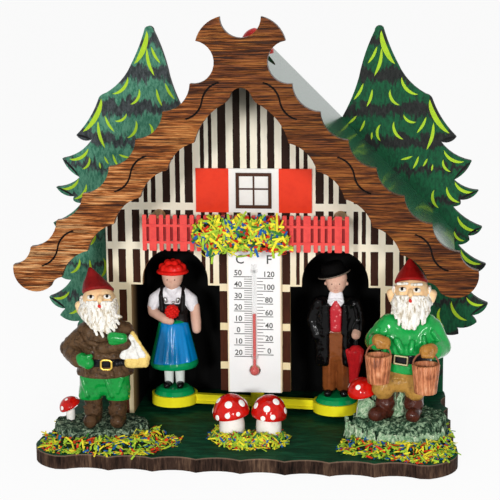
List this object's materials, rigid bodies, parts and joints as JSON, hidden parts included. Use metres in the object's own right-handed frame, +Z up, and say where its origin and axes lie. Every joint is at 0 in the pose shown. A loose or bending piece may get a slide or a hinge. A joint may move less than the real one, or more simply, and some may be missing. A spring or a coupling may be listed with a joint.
{
  "type": "weather house",
  "caption": "Gabled wooden weather house on a scalloped board, whose gut-hung beam swings a lady out for fair weather and a man for rain, with a thermometer between the doors and gnomes on the lawn.",
  "frame": {"origin": "middle of the base's underside", "axes": "+X to the viewer's right along the gable front, +Y from the doors to the back wall, +Z up to the ridge"},
  "size_m": [0.172, 0.096, 0.1547],
  "materials": {
    "base_green": "painted",
    "panel_cream": "printed and varnished",
    "wall_wood": "varnished",
    "roof_green": "gloss paint",
    "fascia_wood": "stained and varnished",
    "tree_green": "painted",
    "window_white": "satin",
    "sash_brown": "gloss",
    "shutter_red": "gloss",
    "railing_red": "gloss",
    "peg_wood": "plain",
    "shavings": "dyed",
    "scale_white": "satin",
    "tube_glass": "polished",
    "fluid_red": "dyed liquid",
    "clip_steel": "bent wire",
    "pin_black": "blackened",
    "bush_brass": "turned",
    "spindle_steel": "turned",
    "knob_red": "gloss",
    "gut": "twisted gut",
    "plug_white": "plain",
    "beam_yellow": "gloss",
    "stand_green": "painted",
    "lady_paint": "painted",
    "man_paint": "painted",
    "rock_grey": "painted",
    "left_gnome_paint": "painted",
    "right_gnome_paint": "painted",
    "stem_white": "gloss paint",
    "cap_red": "gloss paint"
  },
  "bodies": {
    "house": {"base_plate": "base_green", "front_panel": "panel_cream", "back_wall": "wall_wood", "left_side_wall": "wall_wood", "right_side_wall": "wall_wood", "left_roof_panel": "roof_green", "right_roof_panel": "roof_green", "gable_fascia": "fascia_wood", "left_tree": "tree_green", "right_tree": "tree_green", "window_plate": "window_white", "window_sash": "sash_brown", "left_shutter": "shutter_red", "right_shutter": "shutter_red", "railing": "railing_red", "railing_pegs": "peg_wood", "railing_flowers": "shavings", "thermometer_plate": "scale_white", "thermometer_tube": "tube_glass", "thermometer_fluid": "fluid_red", "thermometer_clips": "clip_steel", "gable_pin": "pin_black", "ridge_block": "wall_wood", "spindle_bush": "bush_brass", "left_rock": "rock_grey", "left_gnome": "left_gnome_paint", "left_toadstool_stem": "stem_white", "left_toadstool_cap": "cap_red", "right_rock": "rock_grey", "right_gnome": "right_gnome_paint", "right_toadstool_stem": "stem_white", "right_toadstool_cap": "cap_red", "front_toadstool_stems": "stem_white", "front_toadstool_caps": "cap_red", "left_flower_bed": "shavings", "middle_flower_bed": "shavings", "right_flower_bed": "shavings"},
    "knob": {"adjusting_knob": "knob_red", "knob_spindle": "spindle_steel", "spindle_collar": "spindle_steel"},
    "beam": {"weather_beam": "beam_yellow", "gut_string": "gut", "gut_plug": "plug_white", "lady_stand": "stand_green", "lady_figure": "lady_paint", "man_stand": "stand_green", "man_figure": "man_paint"}
  },
  "joints": [
    {"name": "knob_turn", "type": "hinge", "parent": "house", "child": "knob", "pos_m": [0, 0.0094, 0.14], "axis": [0, 0, 1], "continuous": true},
    {"name": "beam_swing", "type": "hinge", "parent": "house", "child": "beam", "pos_m": [0, 0.0094, 0.01], "axis": [0, 0, 1], "range_deg": [-27, 39], "stiffness_Nm_per_rad": 0.00004}
  ]
}
